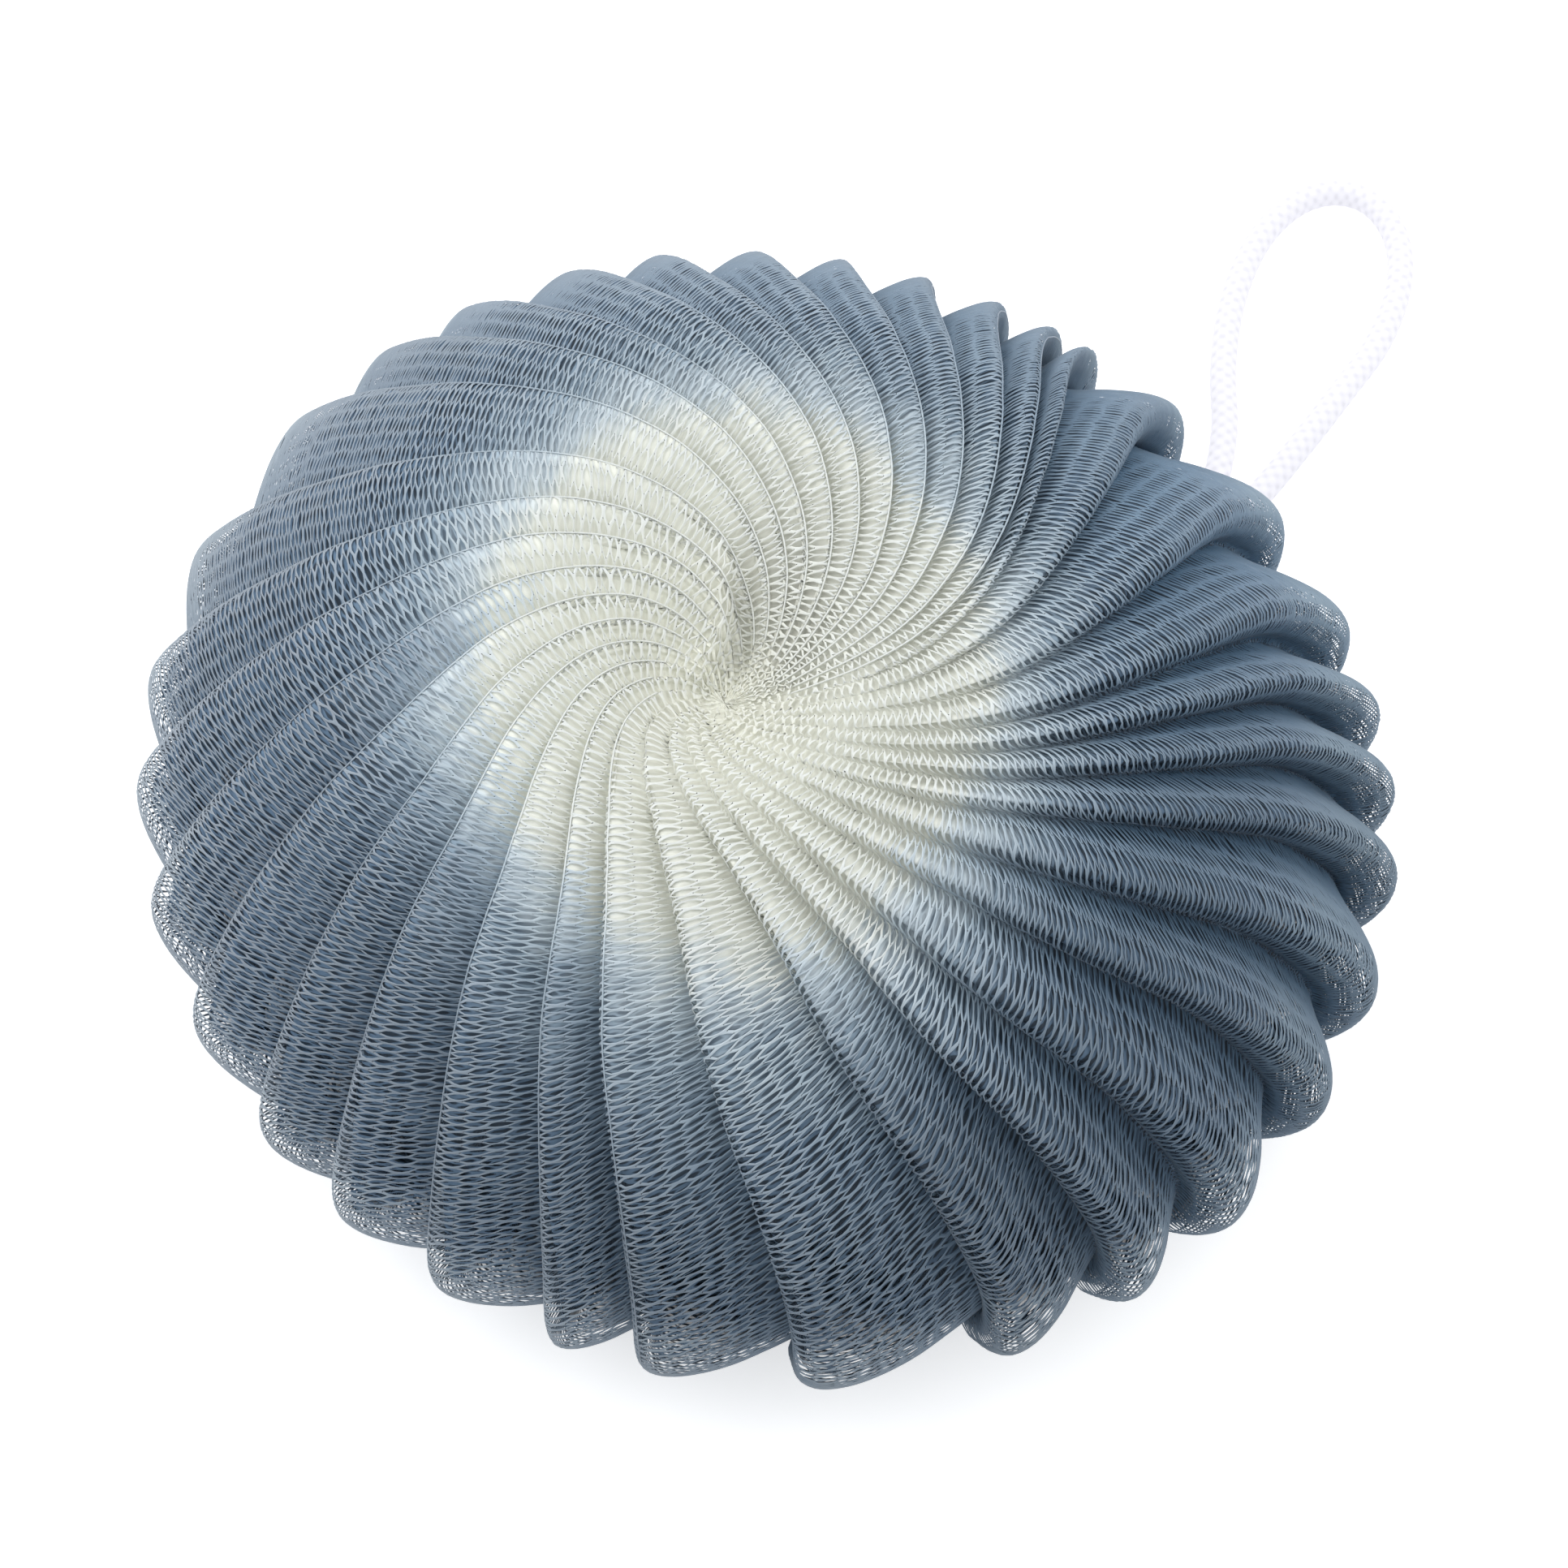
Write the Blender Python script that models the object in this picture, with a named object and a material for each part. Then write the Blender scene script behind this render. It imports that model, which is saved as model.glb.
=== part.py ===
"""Mesh bath pouf: one tube of soft net, pleated into leaves and twisted round its middle, with a cord loop.

The net tube is drawn shut on top, where its pleats curl into a shallow dimple, and it is gathered
underneath into a short neck. Turns of cord bind the neck, and the cord's loop lies on the floor.
Lengths are in millimetres here and become metres where a mesh or a curve is made.
The origin is on the floor, under the middle of the pouf. +X is to the right and +Y to the back.
"""
import math

import bmesh
import bpy

MM = 0.001

# The pleated net
LEAF_WIDTHS = (9, 10, 9, 9, 8, 6, 4, 12, 16, 13, 8, 8, 9, 12, 11, 13, 10, 12, 18, 14, 8, 12, 11, 10,
               12, 12, 12, 11, 13, 16, 11, 9, 11)   # share of the rim, clockwise seen from above
FIRST_EDGE = 109.6          # degrees, direction of the first leaf's hidden edge at the rim
RIM_RADIUS = 65.8           # bottom of the grooves at the widest place
SHOULDER_HEIGHT = 62.0      # bottom of the grooves at the highest place
PLEAT_DEPTH = 6.5           # crest over groove at the rim
OVAL = 0.028                # how far the plan departs from round, as a share of the radius
OVAL_DIRECTION = 143.0      # degrees, the plan's long way
EVEN_RADIUS = 40.0          # inside this radius the leaves grow even in width

# The swirl
SWIRL = 64.0                # degrees from rim to centre
SWIRL_POWER = 1.72
CURL = 30.0                 # degrees more, close to the centre
CURL_RADIUS = 9.0
SWIRL_UNEVEN = 0.38         # the tie pulls the leaves of one side further round
UNEVEN_DIRECTION = 185.0
UNEVEN_TURN = 3.7           # degrees for each millimetre of radius
UNDERSIDE_SWIRL = 0.45      # share of the swirl that the underside has
DIMPLE_SHIFT = (-5.0, -5.5)  # the dimple lies off the plan's middle

# The neck underneath, its binding and its cord
NECK_RADIUS = 5.2
NECK_END = 1.6              # height of the neck's cut end over the floor
WELL_ROOF = 12.6            # height of the hollow round the neck
CORD_DIAMETER = 3.5
SEAT_GAP = 0.3              # between pieces that touch
BINDING_TURNS = 2
BINDING_FOOT = 3.0          # height of the lowest turn's foot over the floor
KNOT_RADIUS = 3.6
FLOOR_GAP = 0.1             # under a cord that lies on the floor
CORD_DIRECTION = 40.5       # degrees, the way the two legs leave the pouf
LEG_SPACING = 4.4           # between the legs' middles under the pouf
LEG_STATIONS = ((0.0, 1.0), (4.0, 0.69), (9.5, 0.10), (17.0, 0.0), (26.0, 0.0), (36.0, 0.0))
# each station of a leg is a distance from the knot, and a height as a share of the knot's over the floor
CHANNEL_HALF = 5.8          # half width of the raised strip over the legs
CHANNEL_FADE = 6.0          # the strip fades to nothing over this width
CHANNEL_GAP = 1.6           # between the legs and the net over them

# A meridian of the grooves, from the dimple over the rim to the neck. Each row holds the radius as a
# share of the rim's, the height as a share of the shoulder's, the pleats' depth as a share of the
# rim's, and how far the leaves lean over.
UPPER_SECTION = (
    (0.037, 0.890, 0.06, 0.6),
    (0.104, 0.932, 0.11, 0.8),
    (0.207, 0.984, 0.20, 1.0),
    (0.356, 1.013, 0.30, 1.0),
    (0.450, 1.006, 0.36, 1.0),
    (0.545, 0.979, 0.42, 1.0),
    (0.635, 0.933, 0.50, 1.0),
    (0.720, 0.866, 0.60, 1.0),
    (0.853, 0.711, 0.79, 1.0),
    (0.945, 0.545, 0.97, 1.0),
    (1.000, 0.400, 1.00, 1.0),
    (0.985, 0.265, 0.95, 1.0),
    (0.895, 0.137, 0.80, 0.8),
    (0.760, 0.052, 0.65, 0.3),
    (0.655, 0.035, 0.55, 0.0),
    (0.530, 0.035, 0.46, 0.0),
    (0.410, 0.065, 0.34, 0.2),
    (0.312, 0.129, 0.23, 0.3),
    (0.221, 0.178, 0.14, 0.2),
)
UNDERSIDE_START = 11        # the first row that belongs to the underside
NECK_PLEAT = 0.25           # depth of the pleats on the neck

# One leaf across its width, from its hidden groove to the next: share of the width, share of the depth
LEANING_LEAF = ((-0.25, 0.0), (0.06, 0.40), (0.40, 0.71), (0.74, 0.93), (0.97, 1.0), (1.06, 0.90),
                (1.02, 0.62), (0.88, 0.28))
UPRIGHT_LEAF = ((0.0, 0.0), (0.14, 0.42), (0.30, 0.76), (0.46, 0.96), (0.62, 1.0), (0.76, 0.86),
                (0.87, 0.58), (0.94, 0.27))
UPRIGHT_DIRECTION = -15.0   # degrees, the side on which the leaves stand up
LEAST_LEAN = 0.35           # share of the lean that is left on that side

# The cord's route on the floor beyond the rim, chosen by hand: out, round the loop and back
LOOP_ROUTE = ((49.4, 45.0), (55.9, 53.4), (58.5, 63.0), (58.9, 73.4), (60.6, 83.6), (64.2, 92.8),
              (69.4, 99.0), (75.0, 101.1), (79.8, 99.2), (82.6, 93.6), (82.4, 86.0), (79.2, 77.4),
              (73.8, 69.4), (68.2, 61.6), (62.4, 54.0), (54.6, 45.2))
CORD_STEP = 2.3             # diameters between the tube's points


def clear_scene():
    """Remove whatever the file holds."""
    for item in list(bpy.data.objects):
        bpy.data.objects.remove(item, do_unlink=True)


def material(name, colour, roughness):
    """A Principled material of one colour."""
    made = bpy.data.materials.new(name)
    made.use_nodes = True
    shader = made.node_tree.nodes["Principled BSDF"]
    shader.inputs["Base Color"].default_value = (*colour, 1.0)
    shader.inputs["Roughness"].default_value = roughness
    shader.inputs["Metallic"].default_value = 0.0
    return made


def smooth(x):
    """0 below 0, 1 above 1, and a soft step between."""
    x = min(max(x, 0.0), 1.0)
    return x * x * (3.0 - 2.0 * x)


def section_rows():
    """The meridian's rows in millimetres: radius, height, pleat depth, lean."""
    rows = []
    for radius, height, depth, lean in UPPER_SECTION:
        rows.append((radius * RIM_RADIUS, height * SHOULDER_HEIGHT, depth * PLEAT_DEPTH, lean))
    rows.append((NECK_RADIUS * 1.75, WELL_ROOF, NECK_PLEAT * 2, 0.0))
    rows.append((NECK_RADIUS, WELL_ROOF - 2.0, NECK_PLEAT, 0.0))
    rows.append((NECK_RADIUS, NECK_END, NECK_PLEAT, 0.0))
    return rows


def leaf_places(radius):
    """The points of a leaf's outline that a ring keeps: all on a wide ring, the crest alone near the middle."""
    share = radius / RIM_RADIUS
    if share > 0.33:
        return list(range(len(UPRIGHT_LEAF)))
    if share > 0.15:
        return list(range(0, len(UPRIGHT_LEAF), 2))
    rises = [rise for _, rise in UPRIGHT_LEAF]
    return [rises.index(max(rises))]


def outward(rows, i):
    """The direction out of the net at a row, as a radius and a height."""
    before = rows[max(i - 1, 0)]
    after = rows[min(i + 1, len(rows) - 1)]
    along = math.hypot(after[0] - before[0], after[1] - before[1])
    return (before[1] - after[1]) / along, (after[0] - before[0]) / along


def leaf_edges():
    """Directions of the leaves' hidden edges at the rim, in degrees, one more than there are leaves."""
    total = sum(LEAF_WIDTHS)
    edges = [FIRST_EDGE]
    for width in LEAF_WIDTHS:
        edges.append(edges[-1] - 360.0 * width / total)
    return edges


def direction(edges, leaf, across, radius, underside):
    """The direction, in radians, of a place across a leaf at a radius."""
    count = len(LEAF_WIDTHS)
    real = edges[leaf] + across * (edges[leaf + 1] - edges[leaf])
    even = FIRST_EDGE - 360.0 * (leaf + across) / count
    near_rim = smooth(radius / EVEN_RADIUS)
    rim_way = even + near_rim * (real - even)
    inward = max(0.0, 1.0 - radius / (RIM_RADIUS + 0.5 * PLEAT_DEPTH))
    turn = SWIRL * inward ** SWIRL_POWER + CURL * math.exp(-radius / CURL_RADIUS)
    if underside:
        turn = turn * UNDERSIDE_SWIRL
    side = math.radians(rim_way - UNEVEN_DIRECTION + UNEVEN_TURN * radius)
    return math.radians(rim_way - turn * (1.0 + SWIRL_UNEVEN * math.cos(side)))


def over_cord(x, y):
    """How high the net has to stand over the two legs of the cord at a place."""
    way = math.radians(CORD_DIRECTION)
    ahead = x * math.cos(way) + y * math.sin(way)
    beside = abs(y * math.cos(way) - x * math.sin(way))
    if ahead < NECK_RADIUS * 2:
        return 0.0
    height = FLOOR_GAP + CORD_DIAMETER + CHANNEL_GAP
    return height * (1.0 - smooth((beside - CHANNEL_HALF) / CHANNEL_FADE))


def net_point(rows, edges, i, leaf, place):
    """A point of the net: row i of the meridian, at a place of one leaf's outline."""
    radius, height, depth, lean = rows[i]
    underside = i >= UNDERSIDE_START
    leaning = LEANING_LEAF[place]
    upright = UPRIGHT_LEAF[place]
    facing = math.radians(0.5 * (edges[leaf] + edges[leaf + 1]) - UPRIGHT_DIRECTION)
    lean *= LEAST_LEAN + (1.0 - LEAST_LEAN) * (0.5 - 0.5 * math.cos(facing))
    across = upright[0] + lean * (leaning[0] - upright[0])
    rise = depth * (upright[1] + lean * (leaning[1] - upright[1]))
    out, up = outward(rows, i)
    way = direction(edges, leaf, across, radius, underside)
    reach = radius + rise * out
    oval = 1.0 + OVAL * math.cos(2.0 * (way - math.radians(OVAL_DIRECTION))) * radius / RIM_RADIUS
    shift = 0.0 if underside else 1.0 - radius / RIM_RADIUS
    x = reach * oval * math.cos(way) + DIMPLE_SHIFT[0] * shift
    y = reach * oval * math.sin(way) + DIMPLE_SHIFT[1] * shift
    z = height + rise * up
    if underside and i < len(UPPER_SECTION):
        z = max(z, over_cord(x, y), 0.0)
    return x, y, z


def make_mesh_body():
    """The net tube: rings of points down the meridian, joined leaf by leaf, closed at both ends."""
    rows = section_rows()
    edges = leaf_edges()
    leaves = len(LEAF_WIDTHS)
    bm = bmesh.new()
    rings = []
    for i, row in enumerate(rows):
        ring = []
        for leaf in range(leaves):
            for place in leaf_places(row[0]):
                x, y, z = net_point(rows, edges, i, leaf, place)
                ring.append(bm.verts.new((x * MM, y * MM, z * MM)))
        rings.append(ring)
    for upper, lower in zip(rings, rings[1:]):
        join_rings(bm, upper, lower)
    for ring in (rings[0], rings[-1]):
        middle = [sum(v.co[k] for v in ring) / len(ring) for k in range(3)]
        centre = bm.verts.new(middle)
        for a, b in zip(ring, ring[1:] + ring[:1]):
            bm.faces.new((a, b, centre))
    bmesh.ops.recalc_face_normals(bm, faces=bm.faces)
    if bm.calc_volume(signed=True) < 0.0:
        bmesh.ops.reverse_faces(bm, faces=bm.faces)
    mesh = bpy.data.meshes.new("mesh_body")
    bm.to_mesh(mesh)
    bm.free()
    mesh.shade_smooth()
    mesh.set_sharp_from_angle(angle=math.radians(60.0))
    return mesh


def join_rings(bm, one, other):
    """Triangles between two rings, one of which may have fewer points than the other."""
    many, few = (one, other) if len(one) >= len(other) else (other, one)
    step = len(many) // len(few)
    for n, near in enumerate(few):
        far = few[(n + 1) % len(few)]
        for k in range(n * step, (n + 1) * step):
            bm.faces.new((many[k], many[(k + 1) % len(many)], near))
        bm.faces.new((many[((n + 1) * step) % len(many)], far, near))


def make_neck_binding():
    """Turns of the cord wound round the neck, as one turned ring."""
    inner = NECK_RADIUS + NECK_PLEAT + SEAT_GAP
    half = 0.5 * CORD_DIAMETER
    arc_steps = 5
    profile = [(inner, BINDING_FOOT + 0.5)]
    for turn in range(round(BINDING_TURNS)):
        middle = BINDING_FOOT + half + turn * (CORD_DIAMETER - SEAT_GAP)
        for step in range(arc_steps):
            angle = math.radians(-60.0 + 120.0 * step / (arc_steps - 1))
            profile.append((inner + half + half * math.cos(angle), middle + half * math.sin(angle)))
    profile.append((inner, profile[-1][1] + 0.2))
    bm = bmesh.new()
    points = [bm.verts.new((x * MM, 0.0, z * MM)) for x, z in profile]
    sides = [bm.edges.new((a, b)) for a, b in zip(points, points[1:] + points[:1])]
    bmesh.ops.spin(bm, geom=points + sides, cent=(0, 0, 0), axis=(0, 0, 1), angle=math.tau, steps=32,
                   use_merge=True)
    bmesh.ops.recalc_face_normals(bm, faces=bm.faces)
    bmesh.ops.triangulate(bm, faces=bm.faces)
    mesh = bpy.data.meshes.new("neck_binding")
    bm.to_mesh(mesh)
    bm.free()
    mesh.shade_smooth()
    return mesh


def knot_place():
    """Middle of the knot, which sits against the binding on the side that the cord leaves."""
    away = NECK_RADIUS + NECK_PLEAT + SEAT_GAP + CORD_DIAMETER + SEAT_GAP + KNOT_RADIUS
    way = math.radians(CORD_DIRECTION)
    return away * math.cos(way), away * math.sin(way), BINDING_FOOT + 0.5 * CORD_DIAMETER


def make_cord_knot():
    """The knot that closes the loop: a small lump with a waist where its turns cross."""
    bm = bmesh.new()
    bmesh.ops.create_uvsphere(bm, u_segments=16, v_segments=9, radius=KNOT_RADIUS * MM)
    for v in bm.verts:
        share = v.co.z / (KNOT_RADIUS * MM)
        waist = 1.0 - 0.10 * math.cos(3.0 * math.pi * share)
        v.co.x *= waist * 0.9
        v.co.y *= waist * 0.9
        v.co.z *= 0.82
    x, y, z = knot_place()
    bmesh.ops.translate(bm, verts=bm.verts, vec=(x * MM, y * MM, z * MM))
    bmesh.ops.triangulate(bm, faces=bm.faces)
    mesh = bpy.data.meshes.new("cord_knot")
    bm.to_mesh(mesh)
    bm.free()
    mesh.shade_smooth()
    return mesh


def cord_route():
    """The points of the cord's route: from the knot, under the pouf, round the loop and back."""
    way = math.radians(CORD_DIRECTION)
    kx, ky, kz = knot_place()
    start = math.hypot(kx, ky) + KNOT_RADIUS + SEAT_GAP
    lie = FLOOR_GAP + 0.5 * CORD_DIAMETER
    half = 0.5 * LEG_SPACING
    leg = [(start + ahead, lie + share * (kz - lie)) for ahead, share in LEG_STATIONS]
    left = []
    right = []
    for ahead, z in leg:
        for points, side in ((left, half), (right, -half)):
            points.append((ahead * math.cos(way) - side * math.sin(way),
                           ahead * math.sin(way) + side * math.cos(way), z))
    loop = [(x, y, lie) for x, y in LOOP_ROUTE]
    return left + loop + right[::-1]


def smooth_route(route, spacing):
    """Points at an even spacing along a smooth curve through the route's points."""
    fine = []
    steps = 12
    count = len(route)
    for i in range(count - 1):
        p = [route[max(i - 1, 0)], route[i], route[i + 1], route[min(i + 2, count - 1)]]
        for s in range(steps):
            t = s / steps
            fine.append([0.5 * (2 * p[1][k] + (p[2][k] - p[0][k]) * t
                                + (2 * p[0][k] - 5 * p[1][k] + 4 * p[2][k] - p[3][k]) * t ** 2
                                + (3 * p[1][k] - p[0][k] - 3 * p[2][k] + p[3][k]) * t ** 3)
                         for k in range(3)])
    fine.append(list(route[-1]))
    lengths = [0.0]
    for a, b in zip(fine, fine[1:]):
        lengths.append(lengths[-1] + math.dist(a, b))
    pieces = max(2, round(lengths[-1] / spacing))
    even = []
    j = 0
    for n in range(pieces + 1):
        want = lengths[-1] * n / pieces
        while j < len(lengths) - 2 and lengths[j + 1] < want:
            j += 1
        span = lengths[j + 1] - lengths[j]
        t = (want - lengths[j]) / span if span else 0.0
        even.append([fine[j][k] + min(t, 1.0) * (fine[j + 1][k] - fine[j][k]) for k in range(3)])
    return even


def make_hanging_cord():
    """The cord as a round tube along its route."""
    points = smooth_route(cord_route(), CORD_STEP * CORD_DIAMETER)
    curve = bpy.data.curves.new("hanging_cord", "CURVE")
    curve.dimensions = "3D"
    curve.bevel_depth = 0.5 * CORD_DIAMETER * MM
    curve.bevel_resolution = 2
    curve.use_fill_caps = True
    spline = curve.splines.new("POLY")
    spline.points.add(len(points) - 1)
    for point, (x, y, z) in zip(spline.points, points):
        point.co = (x * MM, y * MM, z * MM, 1.0)
    return curve


def place(name, data, colour, roughness, origin):
    """Put a mesh or a curve in the scene under its name."""
    item = bpy.data.objects.new(name, data)
    data.materials.append(material(name, colour, roughness))
    item.location = origin
    bpy.context.scene.collection.objects.link(item)
    return item


def main():
    clear_scene()
    body = make_mesh_body()
    xs = [v.co.x for v in body.vertices]
    ys = [v.co.y for v in body.vertices]
    origin = (-0.5 * (min(xs) + max(xs)), -0.5 * (min(ys) + max(ys)), 0.0)
    place("mesh_body", body, (0.12, 0.19, 0.27), 0.6, origin)
    place("neck_binding", make_neck_binding(), (0.90, 0.90, 0.92), 0.55, origin)
    place("cord_knot", make_cord_knot(), (0.90, 0.90, 0.92), 0.55, origin)
    place("hanging_cord", make_hanging_cord(), (0.90, 0.90, 0.92), 0.55, origin)


main()
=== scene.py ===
"""Looks of the mesh bath pouf: knitted net in pleated leaves, its second layer, and a braided cord.

The net's outer layer is modelled yarn by yarn as a lattice of eye-shaped cells. It is made flat, as
one leaf's strip of cloth in millimetres, and every leaf takes a copy that is laid over its pleat.
Shapes are worked out in millimetres and become metres where they go into a mesh.
"""
import math

import bmesh
import bpy
import numpy as np
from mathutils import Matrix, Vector


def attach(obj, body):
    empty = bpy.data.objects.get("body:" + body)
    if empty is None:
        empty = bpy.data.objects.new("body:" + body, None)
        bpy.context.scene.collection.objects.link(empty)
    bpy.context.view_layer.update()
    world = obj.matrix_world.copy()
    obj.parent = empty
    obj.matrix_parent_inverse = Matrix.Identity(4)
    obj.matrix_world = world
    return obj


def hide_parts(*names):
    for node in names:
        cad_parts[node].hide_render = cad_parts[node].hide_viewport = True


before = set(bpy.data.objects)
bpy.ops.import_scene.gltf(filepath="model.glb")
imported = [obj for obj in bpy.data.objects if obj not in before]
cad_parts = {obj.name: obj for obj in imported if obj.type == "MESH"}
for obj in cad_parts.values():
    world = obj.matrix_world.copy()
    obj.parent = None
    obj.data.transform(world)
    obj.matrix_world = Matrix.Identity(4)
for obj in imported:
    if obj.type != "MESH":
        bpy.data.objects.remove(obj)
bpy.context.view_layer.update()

MM = 0.001
TAU = math.tau

# The pleats and the cord, as in the solids
LEAF_WIDTHS = (9, 10, 9, 9, 8, 6, 4, 12, 16, 13, 8, 8, 9, 12, 11, 13, 10, 12, 18, 14, 8, 12, 11, 10,
               12, 12, 12, 11, 13, 16, 11, 9, 11)
LEAVES = len(LEAF_WIDTHS)
FIRST_EDGE = 109.6
RIM_RADIUS = 65.8
SHOULDER_HEIGHT = 62.0
PLEAT_DEPTH = 6.5
OVAL = 0.028
OVAL_DIRECTION = 143.0
EVEN_RADIUS = 40.0
SWIRL = 64.0
SWIRL_POWER = 1.72
CURL = 30.0
CURL_RADIUS = 9.0
SWIRL_UNEVEN = 0.38
UNEVEN_DIRECTION = 185.0
UNEVEN_TURN = 3.7
UNDERSIDE_SWIRL = 0.45
DIMPLE_SHIFT = (-5.0, -5.5)
NECK_RADIUS = 5.2
NECK_PLEAT = 0.25
CORD_DIAMETER = 3.5
CORD_DIRECTION = 40.5
LEG_SPACING = 4.4
LEG_STATIONS = ((0.0, 1.0), (4.0, 0.69), (9.5, 0.10), (17.0, 0.0), (26.0, 0.0), (36.0, 0.0))
CHANNEL_HALF = 5.8
CHANNEL_FADE = 6.0
CHANNEL_GAP = 1.6
FLOOR_GAP = 0.1
SEAT_GAP = 0.3
KNOT_RADIUS = 3.6
BINDING_FOOT = 3.0

# A meridian of the grooves: radius and height as shares of the rim's and the shoulder's, depth of the
# pleats as a share of the rim's, and how far the leaves lean over. Its first two rows, the dimple's
# floor, are a little higher than the solid's
SECTION = (
    (0.000, 0.893, 0.03, 0.5), (0.037, 0.900, 0.06, 0.6), (0.104, 0.932, 0.11, 0.8),
    (0.207, 0.984, 0.20, 1.0), (0.356, 1.013, 0.30, 1.0), (0.450, 1.006, 0.36, 1.0),
    (0.545, 0.979, 0.42, 1.0), (0.635, 0.933, 0.50, 1.0), (0.720, 0.866, 0.60, 1.0),
    (0.853, 0.711, 0.79, 1.0),
    (0.945, 0.545, 0.97, 1.0), (1.000, 0.400, 1.00, 1.0), (0.985, 0.265, 0.95, 1.0),
    (0.895, 0.137, 0.80, 0.8), (0.760, 0.052, 0.65, 0.3), (0.655, 0.035, 0.55, 0.0),
    (0.530, 0.035, 0.46, 0.0), (0.410, 0.065, 0.34, 0.2), (0.312, 0.129, 0.23, 0.3),
    (0.221, 0.178, 0.14, 0.2),
)
NECK_SECTION = ((9.1, 12.6, 0.5, 0.0), (NECK_RADIUS, 10.6, NECK_PLEAT, 0.0),
                (NECK_RADIUS, 1.6, NECK_PLEAT, 0.0))
RIM_ROW = 11                # the row of the widest place
LEANING_LEAF = ((-0.25, 0.0), (0.06, 0.40), (0.40, 0.71), (0.74, 0.93), (0.97, 1.0), (1.06, 0.90),
                (1.02, 0.62), (0.88, 0.28))
UPRIGHT_LEAF = ((0.0, 0.0), (0.14, 0.42), (0.30, 0.76), (0.46, 0.96), (0.62, 1.0), (0.76, 0.86),
                (0.87, 0.58), (0.94, 0.27))
UPRIGHT_DIRECTION = -15.0   # degrees, the side on which the leaves stand up
LEAST_LEAN = 0.35
CREST = 4                   # the outline's point on the crest
LEAF_POINTS = 8

# The crease in which the left side's pleats end: place seen from above, and depth, in millimetres
CREASE = ((-9.5, -5.6, 0.3), (-7.6, -4.6, 0.6), (-5.7, -4.5, 1.0), (-3.6, -1.6, 2.5), (-2.5, 1.3, 3.2),
          (-2.2, 5.0, 2.7), (-2.3, 8.7, 1.7), (-3.5, 13.0, 0.0))
CREASE_STEEP = 1.3          # half width of its steep part
CREASE_SLOW = 5.5           # and of its slow side
CREASE_LIP = (0.35, 2.2, 1.1)  # the lip on its left: height as a share of the depth, distance, half width

# Where the pleats differ from the solid's
BOWL = (5.5, 2.5, 14.0, 12.0)  # the smooth place right of the crease: middle and half widths
BOWL_CALM = 0.9             # share by which the pleats are flatter there
SHADE = (2.5, 4.0, 6.0, 9.0)   # the shaded part of it, close to the crease
SHADE_DEPTH = 0.32
CALM = 0.45                 # share by which they are flatter in the undyed middle
CALM_FADE = (16.0, 36.0)    # radii between which that fades
SHARPER = 0.65              # how much sharper the crests are near the rim
SHARPER_PLACE = (1.2, 4.5)  # rows above the rim, and rows to either side
TIP_CORNER = 0.5            # how far the corners at the leaves' ends stand out
TIP_PLACE = (0.4, 0.8)      # rows above the rim, and rows to either side

# The net, in millimetres of cloth
CLOTH_UNIT = 0.01           # how much of the UV map a millimetre of cloth takes
CELL_LENGTH = 4.2           # across the leaf, from joint to joint
CELL_WIDTH = 0.86           # along the leaf
UNDER_CELL = (4.0, 1.35)    # the hidden side's cells, drawn larger because only its make has to show
UNDER_FROM = 14.0           # how far past the rim the hidden side's net begins
YARN = 0.22                 # width of a yarn
YARN_RISE = 0.12            # height of a yarn's ridge over its edges
YARN_BEND = 0.07            # how far a cell's sides bend, as a share of its width
LEAF_BACK = -26.0           # the strip's two edges, from the crest
LEAF_FRONT = 10.6
LONGER = 0.38               # share by which the cells are longer where the leaves stand up
OPENED_TO = 20.0            # the cells are opened near the dimple, fading over this length
OPENED = (1.25, 1.65)       # share of their width at the dimple, left and right
CLOSEST = 0.72              # share of the cell's width where the courses are pushed together
OPEN_DIRECTION = 248.0      # degrees, the side on which they aren't
EXTRA_SLANT = 12.0          # degrees that the courses slant more than the leaf does, away from the dimple
SLANT_DIRECTION = 270.0     # degrees, the middle of the side on which they do
SLANT_PLACE = (34.0, 12.0)  # the length of cloth at which that begins, and over which it grows
WALE_BEND = (0.22, 7.3)     # slow bends across and along the leaf: reach, and length over a turn
COURSE_BEND = (0.16, 5.1, 4.0)
UNEVEN = ((0.35, 4.0, 0.8), (0.30, 7.0, 2.2), (0.17, 1.7, 0.6))  # uneven patches: reach and two sizes
RAIL = 0.12                 # radius of the line of loops along each leaning leaf's edge
RAIL_LOOP = 0.8             # length of one loop
RAIL_PLACE = 0.17           # share of the way from the crest to the groove before it
RAIL_FROM = (6.0, 3.0)      # the length of cloth at which it begins, and how much later at most
RAIL_PAST = 4.0             # how far past the rim it ends
RAIL_AROUND = 5             # points round it
RAIL_SIDE = 0.25            # cosine from the upright side above which a leaf has no such line
LAYER_GAP = (0.5, 0.9)      # from the outer layer to the one under it, at the dimple and further out
LAYER_FAR = 38.0            # the length of cloth over which the gap grows
LAYER_STEP = 1.8            # length of cloth between that layer's rings
LAYER_LEVEL = (12.0, 14.0)  # the length of cloth to which it lies level, and over which it follows
CREST_CLOSER = (0.6, 18.0, 14.0)  # share by which it is closer in the crests, and where that begins
FLANK_CLOSER = 0.8          # share by which it is closer on the flank that a leaning leaf hides
RIM_GAP = 1.3               # more at the rim, where light comes through the tips of the leaves
TIP_ROWS = (1.4, 1.7)       # rows over which the tips reach, above the rim and below

# The cord's braid, in millimetres
BRAID_LAY = 1.7             # length over which the pattern of its strands repeats
STRANDS = 10
CORD_STEP = 0.4             # length of cord between the rings of its surface
CORD_AROUND = 32            # points in a ring

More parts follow.
